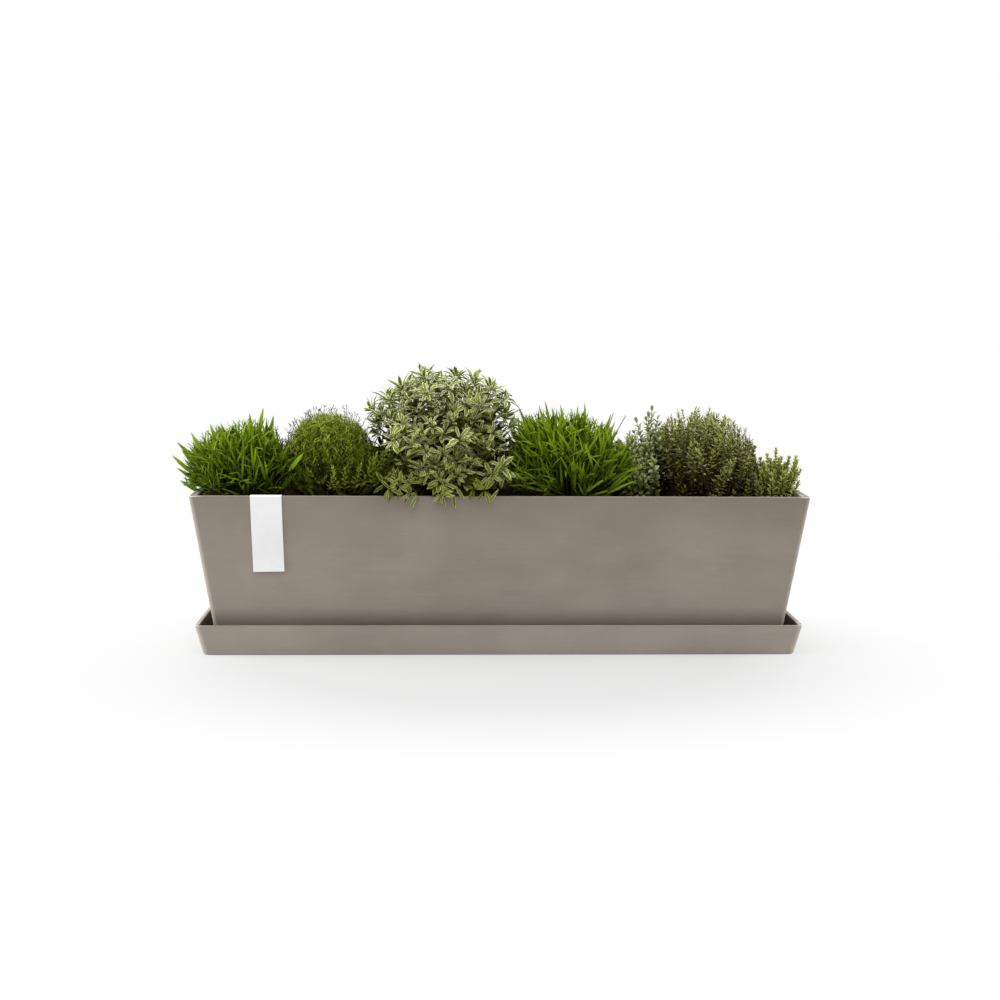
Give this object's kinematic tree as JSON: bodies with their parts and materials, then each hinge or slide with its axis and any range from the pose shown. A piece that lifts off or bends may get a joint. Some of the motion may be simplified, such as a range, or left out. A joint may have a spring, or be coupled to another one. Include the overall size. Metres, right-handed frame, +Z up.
{
  "type": "planted window trough with saucer",
  "caption": "Tapered rectangular planter in matte taupe, standing in a flared drip saucer, with a blank card label and a mixed row of small plants that lift out.",
  "frame": {"origin": "middle of the saucer's flat underside", "axes": "+X along the trough to the right as seen from the front, +Y to the back, +Z up"},
  "size_m": [0.8341, 0.2189, 0.3754],
  "materials": {
    "taupe_plastic": "matte, finely brushed",
    "white_card": "smooth uncoated card",
    "clay_pebbles": "fired expanded clay",
    "soil": "moist peat and bark crumbs",
    "root_mat": "soil bound by fine roots",
    "green_stem": "sheathed grass bases",
    "woody_stem": "thin brown bark",
    "grass_leaf": "satin blades",
    "heath_leaf": "fine matte needles",
    "variegated_leaf": "green leaves with cream margins",
    "grey_leaf": "matte grey-green leaves",
    "herb_leaf": "small satin leaves"
  },
  "bodies": {
    "saucer": {"saucer": "taupe_plastic"},
    "trough": {"trough": "taupe_plastic", "drainage_layer": "clay_pebbles", "potting_soil": "soil"},
    "label": {"label": "white_card"},
    "left_grass": {"left_grass_root_ball": "root_mat", "left_grass_crown": "green_stem", "left_grass_blades": "grass_leaf"},
    "heath": {"heath_root_ball": "root_mat", "heath_stems": "woody_stem", "heath_foliage": "heath_leaf"},
    "variegated_shrub": {"variegated_shrub_root_ball": "root_mat", "variegated_shrub_stems": "woody_stem", "variegated_shrub_foliage": "variegated_leaf"},
    "right_grass": {"right_grass_root_ball": "root_mat", "right_grass_crown": "green_stem", "right_grass_blades": "grass_leaf"},
    "hebe": {"hebe_root_ball": "root_mat", "hebe_stems": "woody_stem", "hebe_foliage": "grey_leaf"},
    "thyme": {"thyme_root_ball": "root_mat", "thyme_stems": "woody_stem", "thyme_foliage": "herb_leaf"},
    "dwarf_box": {"dwarf_box_root_ball": "root_mat", "dwarf_box_stems": "woody_stem", "dwarf_box_foliage": "herb_leaf"}
  },
  "joints": [
    {"name": "trough_lift", "type": "slide", "parent": "saucer", "child": "trough", "axis": [0, 0, 1], "range_m": [0, 0.05]},
    {"name": "label_pull", "type": "slide", "parent": "trough", "child": "label", "axis": [0, -0.1362, 0.9907], "range_m": [0, 0.022]},
    {"name": "left_grass_lift", "type": "slide", "parent": "trough", "child": "left_grass", "axis": [0, 0, 1], "range_m": [0, 0.107]},
    {"name": "heath_lift", "type": "slide", "parent": "trough", "child": "heath", "axis": [0, 0, 1], "range_m": [0, 0.107]},
    {"name": "variegated_shrub_lift", "type": "slide", "parent": "trough", "child": "variegated_shrub", "axis": [0, 0, 1], "range_m": [0, 0.117]},
    {"name": "right_grass_lift", "type": "slide", "parent": "trough", "child": "right_grass", "axis": [0, 0, 1], "range_m": [0, 0.107]},
    {"name": "hebe_lift", "type": "slide", "parent": "trough", "child": "hebe", "axis": [0, 0, 1], "range_m": [0, 0.092]},
    {"name": "thyme_lift", "type": "slide", "parent": "trough", "child": "thyme", "axis": [0, 0, 1], "range_m": [0, 0.107]},
    {"name": "dwarf_box_lift", "type": "slide", "parent": "trough", "child": "dwarf_box", "axis": [0, 0, 1], "range_m": [0, 0.082]}
  ]
}
